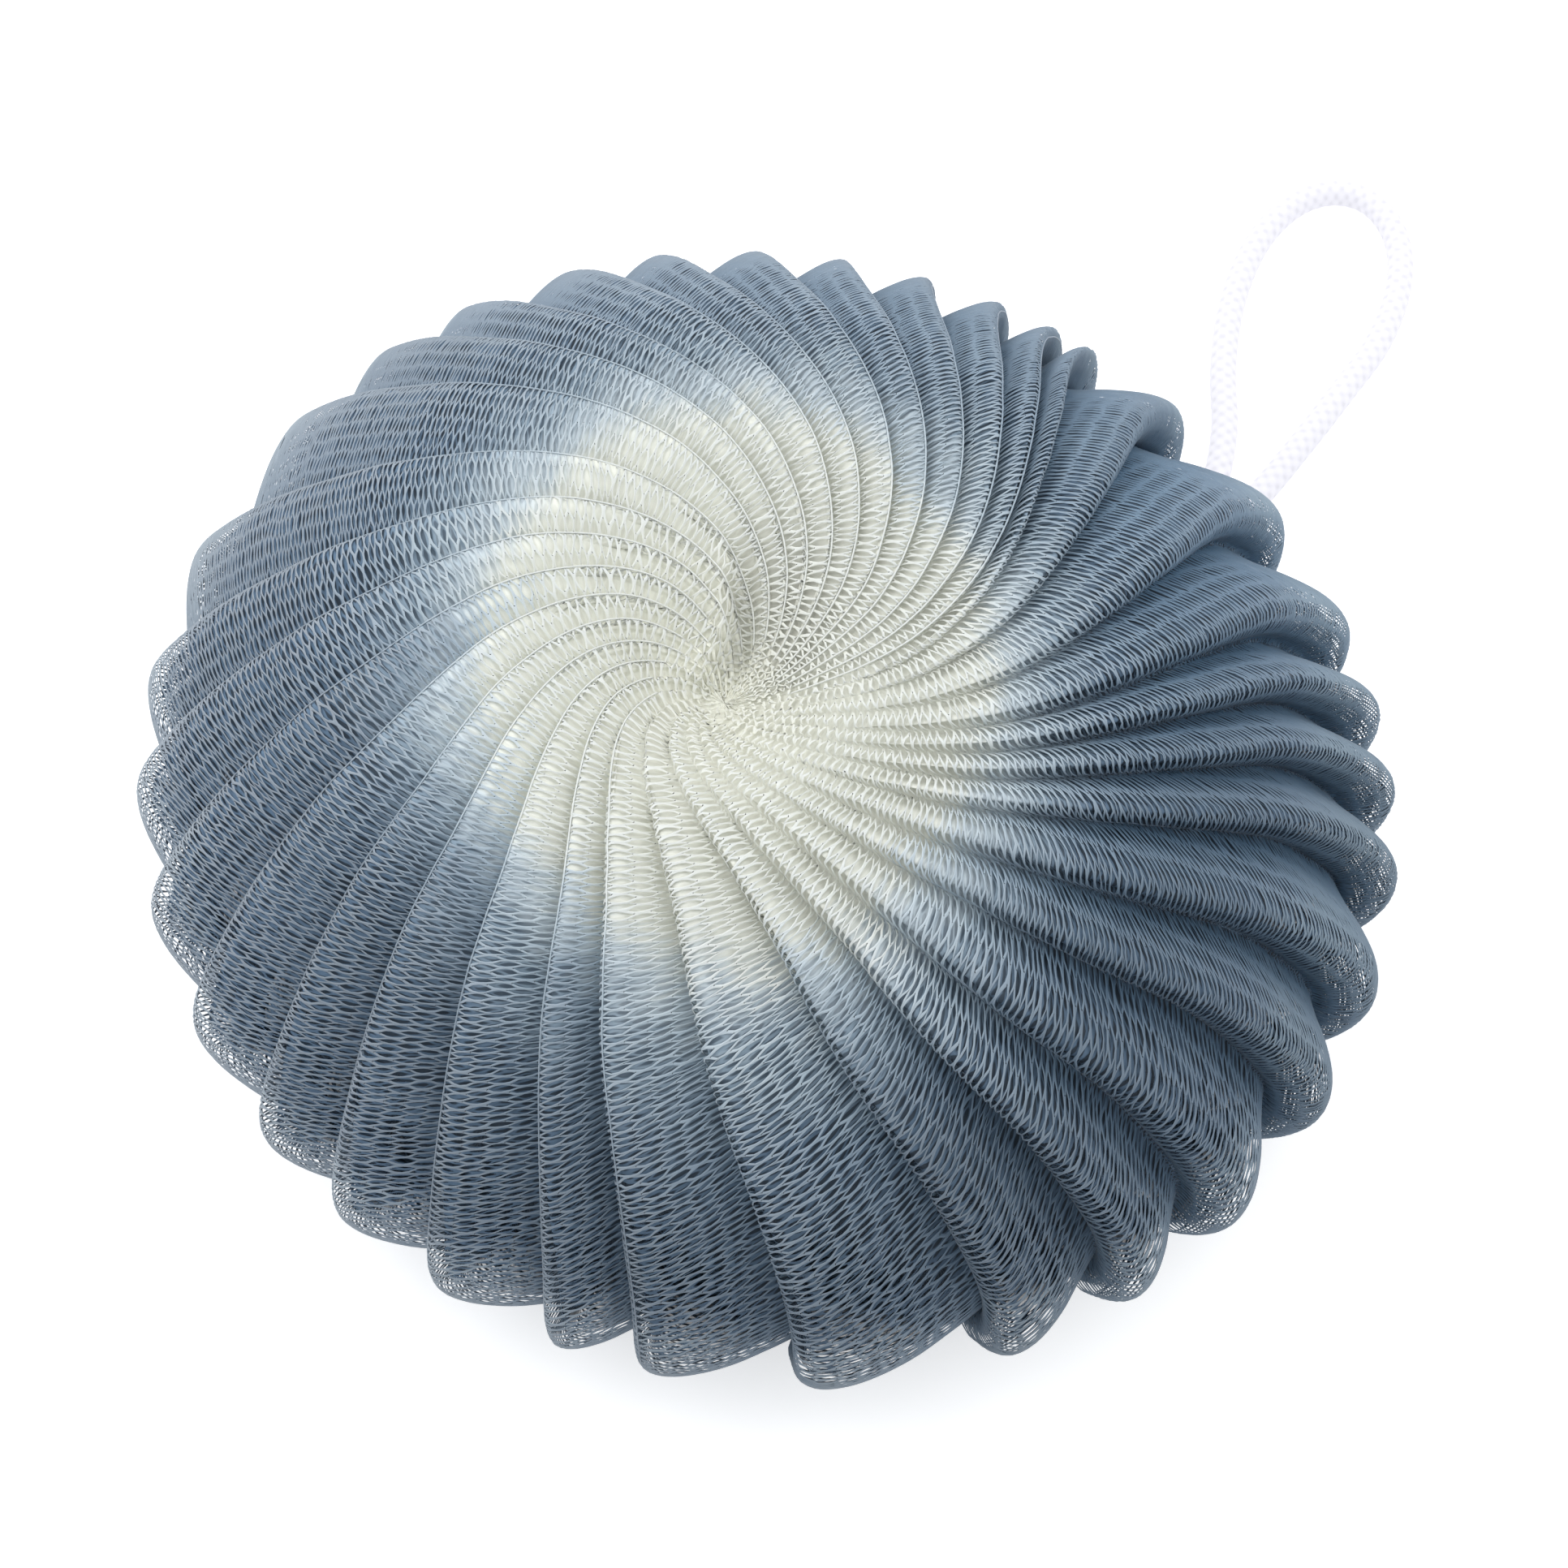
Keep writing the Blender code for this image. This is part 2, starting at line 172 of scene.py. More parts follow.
# How the dye came out, and the light and shade painted over it by side, with directions seen from above in
# degrees
PAINTED_LIGHT_DIRECTION = 125.0     # the side on which the leaves are painted lighter, where the light falls
PAINTED_LIGHTER = 0.14
PAINTED_SHADE_DIRECTION = 300.0      # the side on which they are painted darker, in shade
PAINTED_DARKER = 0.20
PAINTED_BLUE_DIRECTION = 5.0        # the side on which it is painted bluer, as in shade, and greyer opposite, where lit
PAINTED_BLUER = 0.26
PAINTED_PALE_DIRECTION = 190.0      # the side on which the second layer is painted paler, where the light falls
PAINTED_PALER = 0.6
DYE_UNDER = 2.6             # how far into the dye the hidden side is

# The undyed middle, an oval seen from above, in millimetres
DYE_CENTRE = (-3.5, -6.0)
DYE_HALF = (33.0, 41.0)
ALL_DYED = (9.0, 14.0)      # how far before the rim the oval stops counting, and over which length

# The picture: lamps with their places and sizes in metres and watts, and the camera
LAMPS = (("window", (-0.6, 0.4, 0.9), 1.5, 7.2), ("fill", (0.7, 0.3, 0.9), 1.5, 3.5))
LAMP_TARGET = (0.0, 0.0, 0.03)
CAMERA_TARGET = (2.1, -2.4, 30.0)  # millimetres
CAMERA_TILT = 62.0          # degrees down
CAMERA_AWAY = 0.5           # metres
CAMERA_LENS = 99.6


def linear(code):
    """The linear colour of an sRGB hex code."""
    parts = [int(code[i:i + 2], 16) / 255.0 for i in (0, 2, 4)]
    return (*[c / 12.92 if c <= 0.04045 else ((c + 0.055) / 1.055) ** 2.4 for c in parts], 1.0)


def add(tree, kind, settings=None, **links):
    """A node with its settings, its input values and its links. A colour ramp's stops are a setting too."""
    node = tree.nodes.new(kind)
    for name, value in (settings or {}).items():
        if name == "stops":
            elements = node.color_ramp.elements
            elements.remove(elements[1])
            for i, (place, code) in enumerate(value):
                element = elements[0] if i == 0 else elements.new(place)
                element.position = place
                element.color = linear(code)
        else:
            setattr(node, name, value)
    for name, value in links.items():
        key = int(name[1:]) if name[0] == "i" and name[1:].isdigit() else name.replace("_", " ")
        socket = node.inputs[key]
        if isinstance(value, bpy.types.NodeSocket):
            tree.links.new(value, socket)
        else:
            socket.default_value = value
    return node


def cloth_waves(tree, cloth, lengths):
    """Cosines across and along the cloth, of the given lengths in millimetres."""
    parts = add(tree, "ShaderNodeSeparateXYZ", Vector=cloth)
    waves = []
    for axis, length in zip("XY", lengths):
        turn = add(tree, "ShaderNodeMath", {"operation": "MULTIPLY"}, i0=parts.outputs[axis],
                   i1=TAU / (length * CLOTH_UNIT))
        waves.append(add(tree, "ShaderNodeMath", {"operation": "COSINE"}, i0=turn.outputs[0]).outputs[0])
    return waves


def new_material(name):
    """A material with its tree and its shader."""
    made = bpy.data.materials.new(name)
    made.use_nodes = True
    return made, made.node_tree, made.node_tree.nodes["Principled BSDF"]


def smooth(x):
    """0 below 0, 1 above 1, and a soft step between."""
    x = np.clip(x, 0.0, 1.0)
    return x * x * (3.0 - 2.0 * x)


def spline(values, t):
    """A smooth curve through rows of values, read at places counted in rows."""
    values = np.asarray(values, float)
    last = len(values) - 1
    i = np.clip(np.floor(t).astype(int), 0, last - 1)
    f = (t - i).reshape(-1, *([1] * (values.ndim - 1)))
    a, b, c, d = (values[np.clip(i + k, 0, last)] for k in (-1, 0, 1, 2))
    return 0.5 * (2 * b + (c - a) * f + (2 * a - 5 * b + 4 * c - d) * f ** 2
                  + (3 * b - a - 3 * c + d) * f ** 3)


def section_rows():
    """The meridian's rows in millimetres: radius, height, depth of the pleats and lean."""
    rows = [(r * RIM_RADIUS, z * SHOULDER_HEIGHT, d * PLEAT_DEPTH, lean) for r, z, d, lean in SECTION]
    return np.array(rows + list(NECK_SECTION))


ROWS = section_rows()


def over_cord(x, y):
    """How high the net has to stand over the two legs of the cord."""
    way = math.radians(CORD_DIRECTION)
    ahead = x * math.cos(way) + y * math.sin(way)
    beside = np.abs(y * math.cos(way) - x * math.sin(way))
    height = FLOOR_GAP + CORD_DIAMETER + CHANNEL_GAP
    lift = height * (1.0 - smooth((beside - CHANNEL_HALF) / CHANNEL_FADE))
    return np.where(ahead < 2.0 * NECK_RADIUS, 0.0, lift)


def crease_depth(x, y):
    """How far the crease draws the net down: steeply on its left, slowly on its right, past a low lip."""
    line = spline(CREASE, np.linspace(0.0, len(CREASE) - 1.0, 60))
    dx, dy = x[..., None] - line[:, 0], y[..., None] - line[:, 1]
    gap = np.hypot(dx, dy)
    near = gap.argmin(-1)
    gap = gap.min(-1)
    along = np.gradient(line[:, :2], axis=0)[near]
    dx = np.take_along_axis(dx, near[..., None], -1)[..., 0]
    dy = np.take_along_axis(dy, near[..., None], -1)[..., 0]
    left = along[..., 0] * dy - along[..., 1] * dx > 0.0
    lip, away, width = CREASE_LIP
    steep = np.exp(-(gap / CREASE_STEEP) ** 2) - lip * np.exp(-((gap - away) / width) ** 2)
    slow = 0.5 * np.exp(-(gap / CREASE_STEEP) ** 2) + 0.5 * np.exp(-(gap / CREASE_SLOW) ** 2)
    return line[near, 2] * np.where(left, steep, slow)


def net_rings(t, pleated=1.0):
    """Rings of the pleated net at places down the meridian, each with LEAF_POINTS points a leaf.

    pleated is the share of the pleats' depth and lean, for every ring or for all.
    """
    pleated = np.reshape(pleated, (-1, 1))
    rows = spline(ROWS, t)
    radius, height, depth, lean = (rows[:, k, None] for k in range(4))
    ahead, behind = spline(ROWS[:, :2], t + 0.02), spline(ROWS[:, :2], t - 0.02)
    run = ahead - behind
    long = np.hypot(run[:, 0], run[:, 1])
    out, up = (-run[:, 1] / long)[:, None], (run[:, 0] / long)[:, None]
    leaf = np.repeat(np.arange(LEAVES), LEAF_POINTS)[None]
    widths = np.array(LEAF_WIDTHS, float) * 360.0 / sum(LEAF_WIDTHS)
    edges = FIRST_EDGE - np.concatenate(([0.0], np.cumsum(widths)))
    leaning, upright = np.tile(LEANING_LEAF, (LEAVES, 1)), np.tile(UPRIGHT_LEAF, (LEAVES, 1))
    facing = np.radians(edges[leaf] - 0.5 * widths[leaf] - UPRIGHT_DIRECTION)
    lean = lean * (LEAST_LEAN + (1.0 - LEAST_LEAN) * (0.5 - 0.5 * np.cos(facing)))
    across = upright[None, :, 0] + lean * (leaning - upright)[None, :, 0]
    rise = upright[None, :, 1] + lean * (leaning - upright)[None, :, 1]
    level = np.tile(np.arange(LEAF_POINTS) / LEAF_POINTS, LEAVES)[None]
    across = level + pleated * (across - level)
    real = edges[leaf] - across * widths[leaf]
    even = FIRST_EDGE - 360.0 * (leaf + across) / LEAVES
    rim_way = even + smooth(radius / EVEN_RADIUS) * (real - even)
    inward = np.maximum(0.0, 1.0 - radius / (RIM_RADIUS + 0.5 * PLEAT_DEPTH))
    turn = SWIRL * inward ** SWIRL_POWER + CURL * np.exp(-radius / CURL_RADIUS)
    under = smooth(t - RIM_ROW)[:, None]
    turn = turn * (1.0 + (UNDERSIDE_SWIRL - 1.0) * under)
    side = np.radians(rim_way - UNEVEN_DIRECTION + UNEVEN_TURN * radius)
    way = np.radians(rim_way - turn * (1.0 + SWIRL_UNEVEN * np.cos(side)))
    shift = np.where(t < RIM_ROW, np.maximum(0.0, 1.0 - radius[:, 0] / RIM_RADIUS), 0.0)[:, None]
    bowl_x = (radius * np.cos(way) + DIMPLE_SHIFT[0] * shift - BOWL[0]) / BOWL[2]
    bowl_y = (radius * np.sin(way) + DIMPLE_SHIFT[1] * shift - BOWL[1]) / BOWL[3]
    above = np.where(t < RIM_ROW, 1.0, 0.0)[:, None]
    depth = depth * (1.0 - BOWL_CALM * above * np.exp(-bowl_x ** 2 - bowl_y ** 2))
    outside = smooth((radius - CALM_FADE[0]) / (CALM_FADE[1] - CALM_FADE[0]))
    depth = depth * (1.0 - CALM * above * (1.0 - outside))
    # the leaves are creased sharper towards the rim and end there in corners
    near_rim = smooth(1.0 - np.abs(t - RIM_ROW + SHARPER_PLACE[0]) / SHARPER_PLACE[1])[:, None]
    rise = rise ** (1.0 + SHARPER * near_rim)
    at_tip = np.exp(-((t - RIM_ROW + TIP_PLACE[0]) / TIP_PLACE[1]) ** 2)[:, None]
    corner = TIP_CORNER * at_tip * rise ** 3
    lift = rise * depth * pleated + corner
    reach = radius + lift * out
    oval = 1.0 + OVAL * np.cos(2.0 * (way - math.radians(OVAL_DIRECTION))) * radius / RIM_RADIUS
    x = reach * oval * np.cos(way) + DIMPLE_SHIFT[0] * shift
    y = reach * oval * np.sin(way) + DIMPLE_SHIFT[1] * shift
    z = height + lift * up
    z = z - above * crease_depth(x, y)
    below = (t >= RIM_ROW + 1)[:, None] & (t < len(SECTION))[:, None]
    z = np.where(below, np.maximum(z, over_cord(x, y)), z)
    return np.stack((x, y, z), -1)


def origin_shift():
    """How far the middle of the pleats, read at their rows as for the solid, is from the origin."""
    rings = net_rings(np.arange(len(ROWS), dtype=float))
    flat = rings.reshape(-1, 3)
    middle = 0.5 * (flat.min(0) + flat.max(0))
    return np.array((middle[0], middle[1], 0.0))


SHIFT = origin_shift()


def course_places(step):
    """Places down the meridian at an even length of cloth, with the swirl's slant counted in."""
    t = np.linspace(0.0, len(ROWS) - 1.0, 4000)
    rows = spline(ROWS, t)
    inward = np.maximum(0.0, 1.0 - rows[:, 0] / (RIM_RADIUS + 0.5 * PLEAT_DEPTH))
    turn = np.radians(SWIRL * inward ** SWIRL_POWER + CURL * np.exp(-rows[:, 0] / CURL_RADIUS))
    slant = rows[:, 0] * np.gradient(turn, t)
    run = np.sqrt(np.gradient(rows[:, 0], t) ** 2 + np.gradient(rows[:, 1], t) ** 2 + slant ** 2)
    length = np.concatenate(([0.0], np.cumsum(0.5 * (run[1:] + run[:-1]) * np.diff(t))))
    count = int(length[-1] / step)
    v = np.arange(count + 1) * step
    return v, np.interp(v, length, t)


def leaf_cloth(rings, leaf, steps=6):
    """One leaf's cloth, from its hidden groove to the next, as points across every ring."""
    first = leaf * LEAF_POINTS
    places = np.arange(-1, LEAF_POINTS + 2) + first
    points = rings[:, places % (LEAVES * LEAF_POINTS)]
    s = 1.0 + np.linspace(0.0, LEAF_POINTS, LEAF_POINTS * steps + 1)
    return spline(points.transpose(1, 0, 2), s).transpose(1, 0, 2)


COURSE_STEP = 0.45
REACH_STEP = 0.25
COURSE_V, COURSE_T = course_places(COURSE_STEP)
REACH = np.arange(LEAF_BACK - 1.0, LEAF_FRONT + 1.0, REACH_STEP)
RIM_V = float(np.interp(RIM_ROW, COURSE_T, COURSE_V))


def laid_out(cloth, steps=6):
    """A leaf's cloth read at even lengths from its crest, and the two lengths at which it ends."""
    gaps = np.linalg.norm(np.diff(cloth, axis=1), axis=2)
    along = np.concatenate((np.zeros((len(cloth), 1)), np.cumsum(gaps, axis=1)), axis=1)
    along -= along[:, CREST * steps, None]
    table = np.empty((len(cloth), len(REACH), 3))
    for i in range(len(cloth)):
        for k in range(3):
            table[i, :, k] = np.interp(REACH, along[i], cloth[i, :, k])
    return table, along[:, 0], along[:, -1]


def leaf_slant(table, leaf):
    """The sine of the angle between the courses and the level, down a leaf's length."""
    middle = int(round(-REACH[0] / REACH_STEP))
    along = np.gradient(table[:, middle], axis=0)
    across = np.gradient(table, axis=1)[:, middle]
    sine = -(along * across).sum(1)
    sine /= np.maximum(np.linalg.norm(along, axis=1) * np.linalg.norm(across, axis=1), 1e-9)
    padded = np.pad(np.clip(sine, -0.8, 0.8), 6, mode="edge")
    sine = np.convolve(padded, np.full(13, 1.0 / 13.0), mode="valid")
    side = smooth((leaf_facing(leaf, SLANT_DIRECTION) + 0.1) / 0.25)
    more = math.radians(EXTRA_SLANT) * side * smooth((COURSE_V - SLANT_PLACE[0]) / SLANT_PLACE[1])
    return np.sin(np.arcsin(sine) + more)


def patches(u, v, size_u, size_v, chance):
    """Soft random values between -1 and 1 in patches of the given size."""
    drawn = chance.uniform(-1.0, 1.0, (64, 64))
    i, j = u / size_u + 64.0, v / size_v + 64.0
    a, b = np.floor(i).astype(int), np.floor(j).astype(int)
    f, g = smooth(i - a), smooth(j - b)
    a, b, c, d = a % 64, b % 64, (a + 1) % 64, (b + 1) % 64
    return ((1 - f) * ((1 - g) * drawn[a, b] + g * drawn[a, d])
            + f * ((1 - g) * drawn[c, b] + g * drawn[c, d]))


def leaf_facing(leaf, towards):
    """The cosine of the angle between a leaf's direction at the rim and another direction."""
    widths = np.array(LEAF_WIDTHS, float)
    way = FIRST_EDGE - 360.0 * (widths[:leaf].sum() + 0.5 * widths[leaf]) / widths.sum()
    return math.cos(math.radians(way - towards))


def open_side(leaf):
    """1 for a leaf on the side where the courses aren't pushed together, 0 elsewhere."""
    return float(smooth((leaf_facing(leaf, OPEN_DIRECTION) - 0.15) / 0.2))


def closeness(leaf):
    """The share of the cells' width that a leaf's courses keep."""
    return CLOSEST + (1.0 - CLOSEST) * open_side(leaf)


def read_table(table, u, v):
    """Points of a table at lengths across and along the leaf."""
    i = np.clip(v / COURSE_STEP, 0, len(table) - 1.001)
    j = np.clip((u - REACH[0]) / REACH_STEP, 0, len(REACH) - 1.001)
    a, b = i.astype(int), j.astype(int)
    f, g = (i - a)[:, None], (j - b)[:, None]
    return ((1 - f) * ((1 - g) * table[a, b] + g * table[a, b + 1])
            + f * ((1 - g) * table[a + 1, b] + g * table[a + 1, b + 1]))


def outward(table):
    """Directions out of the cloth for every point of a table."""
    down = np.gradient(table, axis=0)
    over = np.gradient(table, axis=1)
    normal = np.cross(over, down)
    return normal / np.maximum(np.linalg.norm(normal, axis=2, keepdims=True), 1e-9)


def flat_net(v_from, v_to, cell, bends):
    """A strip of net for one leaf, flat: x across from the crest, y down from the dimple.

    A grid's squares are poked and their own sides dissolved, which leaves diamonds. Their sides are
    bent into waves, and each diamond is inset so that a ridged yarn stays round an open eye.
    """
    columns = int(round((LEAF_FRONT - LEAF_BACK) / cell[0]))
    courses = int(round((v_to - v_from) / cell[1]))
    bm = bmesh.new()
    bmesh.ops.create_grid(bm, x_segments=columns, y_segments=courses, size=0.5)
    bmesh.ops.scale(bm, verts=bm.verts, vec=(LEAF_FRONT - LEAF_BACK, v_to - v_from, 1.0))
    middle = (0.5 * (LEAF_FRONT + LEAF_BACK), 0.5 * (v_from + v_to), 0.0)
    bmesh.ops.translate(bm, verts=bm.verts, vec=middle)
    sides = [e for e in bm.edges if not e.is_boundary]
    bmesh.ops.poke(bm, faces=bm.faces)
    bmesh.ops.dissolve_edges(bm, edges=sides, use_verts=False)
    if bends:
        rising, falling = [], []
        for e in bm.edges:
            a, b = e.verts
            if abs(a.co.x - b.co.x) < 1e-6 or abs(a.co.y - b.co.y) < 1e-6:
                continue
            slope = (a.co.x - b.co.x) * (a.co.y - b.co.y)
            (rising if slope > 0.0 else falling).append(e)
        for edges, sign in ((rising, 1.0), (falling, -1.0)):
            split = bmesh.ops.bisect_edges(bm, edges=edges, cuts=bends)["geom_split"]
            for v in [g for g in split if isinstance(g, bmesh.types.BMVert)]:
                phase = ((v.co.x - LEAF_BACK) / (0.5 * cell_width(columns))) % 1.0
                v.co.y -= sign * YARN_BEND * cell[1] * math.sin(TAU * phase)
    eyes = bm.faces[:]
    bmesh.ops.inset_individual(bm, faces=eyes, thickness=0.5 * YARN, depth=-YARN_RISE,
                               use_even_offset=True)
    bmesh.ops.delete(bm, geom=eyes, context="FACES_ONLY")
    mesh = bpy.data.meshes.new("flat_net")
    bm.to_mesh(mesh)
    bm.free()
    return mesh


def cell_width(columns):
    """Width of one column of the flat strip."""
    return (LEAF_FRONT - LEAF_BACK) / columns


def dye_share(place, v):
    """How far into the dye a point is: 1 at the edge of the undyed oval, more outside it."""
    x = (place[:, 0] - DYE_CENTRE[0]) / DYE_HALF[0]
    y = (place[:, 1] - DYE_CENTRE[1]) / DYE_HALF[1]
    under = smooth((v - RIM_V + ALL_DYED[0]) / ALL_DYED[1])
    return np.hypot(x, y) * (1.0 - under) + DYE_UNDER * under


def grid(name, across, along, size=0.5):
    """A flat grid's mesh."""
    bm = bmesh.new()
    bmesh.ops.create_grid(bm, x_segments=across, y_segments=along, size=size)
    mesh = bpy.data.meshes.new(name)
    bm.to_mesh(mesh)
    bm.free()
    return mesh


def points_of(mesh):
    """A mesh's points, a row for each."""
    co = np.zeros(len(mesh.vertices) * 3, np.float32)
    mesh.vertices.foreach_get("co", co)
    return co.reshape(-1, 3)


def set_points(mesh, place):
    """Put a mesh's points at places in millimetres."""
    mesh.vertices.foreach_set("co", (place * MM).astype(np.float32).ravel())


def corners_of(mesh):
    """The number of the point at every corner of a mesh's faces."""
    corner = np.zeros(len(mesh.loops), np.int32)
    mesh.loops.foreach_get("vertex_index", corner)
    return corner


def set_cloth(mesh, lengths):
    """Lengths across and along the cloth as a UV map, a row for every corner."""
    layer = mesh.uv_layers.new(name="cloth")
    layer.data.foreach_set("uv", (lengths * CLOTH_UNIT).astype(np.float32).ravel())


def sew(mesh):
    """Join the points that lie on each other, and turn the faces outwards."""
    bm = bmesh.new()
    bm.from_mesh(mesh)
    bmesh.ops.remove_doubles(bm, verts=bm.verts, dist=1e-6)
    bmesh.ops.recalc_face_normals(bm, faces=bm.faces)
    bm.to_mesh(mesh)
    bm.free()
    mesh.shade_smooth()


def set_values(mesh, **values):
    """Values for every point of a mesh, which its material reads by name."""
    for name, each in values.items():
        held = mesh.attributes.new(name, "FLOAT", "POINT")
        held.data.foreach_set("value", each.astype(np.float32))


def leaf_values(leaf, dye, chance):
    """How light and how blue a leaf's dyed cloth is painted by the side it faces, with a little random tone,
    for every point with its dye.
    """
    # painted light and shade: lighter on the lit side and darker on the shaded side, with a little random
    # tone
    light = chance.uniform(-0.05, 0.05) + PAINTED_LIGHTER * leaf_facing(leaf, PAINTED_LIGHT_DIRECTION)
    light -= PAINTED_DARKER * max(0.0, leaf_facing(leaf, PAINTED_SHADE_DIRECTION))
    dyed = smooth(2.0 * dye - 2.0)
    # painted shade: bluer on the shaded right side and greyer on the lit left
    blue = 0.02 + PAINTED_BLUER * leaf_facing(leaf, PAINTED_BLUE_DIRECTION)
    return {"tone": 1.0 + light * dyed, "blue": 1.0 + blue * dyed}


def set_layers(mesh, cloth, dye, deep, **values):
    """The cloth's own coordinates as a UV map, and the dye's and the pleat's values as attributes."""
    set_cloth(mesh, cloth[corners_of(mesh)])
    set_values(mesh, dye=dye, deep=np.clip(deep, 0.0, 1.0), **values)


def net_piece(name, flat, leaves, tables, chance, trim_back, cell, v_end):
    """Leaves of net laid over their pleats and joined into one piece.

    The courses cross a leaf at a right angle to its own line, so they slant to the meridian where the
    leaves do. The cells are opened towards the dimple, and drawn longer where the leaves stand up.
    """
    co = points_of(flat).astype(float)
    whole = bmesh.new()
    for leaf in leaves:
        table, normals, back, front, slant = tables[leaf]
        wander = chance.random(4) * TAU
        upright = 0.5 + 0.5 * leaf_facing(leaf, UPRIGHT_DIRECTION)
        u = (co[:, 0] + chance.uniform(-0.5, 0.5) * cell[0]) * (1.0 + LONGER * upright ** 2)
        v = co[:, 1] + (chance.random() - 0.5) * cell[1]
        opened = OPENED[0] + (OPENED[1] - OPENED[0]) * upright - closeness(leaf)
        faded = OPENED_TO * (1.0 - np.exp(-np.maximum(v, 0.0) / OPENED_TO))
        v = v * closeness(leaf) + opened * faded
        cloth = np.stack((u, v), -1)
        wide, low, fine = UNEVEN
        bend = WALE_BEND[0] * np.sin(v / WALE_BEND[1] + wander[0])
        u = u + bend + wide[0] * patches(u, v, *wide[1:], chance)
        sway = np.sin(v / COURSE_BEND[1] + u / COURSE_BEND[2] + wander[2])
        v = v + COURSE_BEND[0] * sway + low[0] * patches(u, v, *low[1:], chance)
        v = v + fine[0] * patches(cloth[:, 0], cloth[:, 1], *fine[1:], chance)
        sine = np.interp(v, COURSE_V, slant)
        secant = 1.0 / np.sqrt(1.0 - sine ** 2)
        v = v + u * sine * secant
        u = u * secant
        place = read_table(table, u, v) + co[:, 2, None] * read_table(normals, u, v)
        back_here = np.interp(v, COURSE_V, back)
        front_here = np.interp(v, COURSE_V, front)
        inside = (u > back_here * trim_back) & (u < front_here) & (v > 0.0) & (v < v_end)
        deep = np.where(u < 0.0, u / back_here, u / front_here)
        mesh = flat.copy()
        set_points(mesh, place - SHIFT)
        dye = dye_share(place, v) + chance.normal(0.0, 0.05)
        set_layers(mesh, cloth, dye, deep, **leaf_values(leaf, dye, chance))
        bm = bmesh.new()
        bm.from_mesh(mesh)
        lost = [f for f in bm.faces if not any(inside[x.index] for x in f.verts)]
        bmesh.ops.delete(bm, geom=lost, context="FACES")
        bm.to_mesh(mesh)
        bm.free()
        whole.from_mesh(mesh)
        bpy.data.meshes.remove(mesh)
    mesh = bpy.data.meshes.new(name)
    whole.to_mesh(mesh)
    whole.free()
    mesh.shade_smooth()
    return show(name, mesh)


def show(name, data):
    """Put a finished mesh in the scene."""
    item = bpy.data.objects.new(name, data)
    bpy.context.scene.collection.objects.link(item)
    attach(item, "root")
    return item


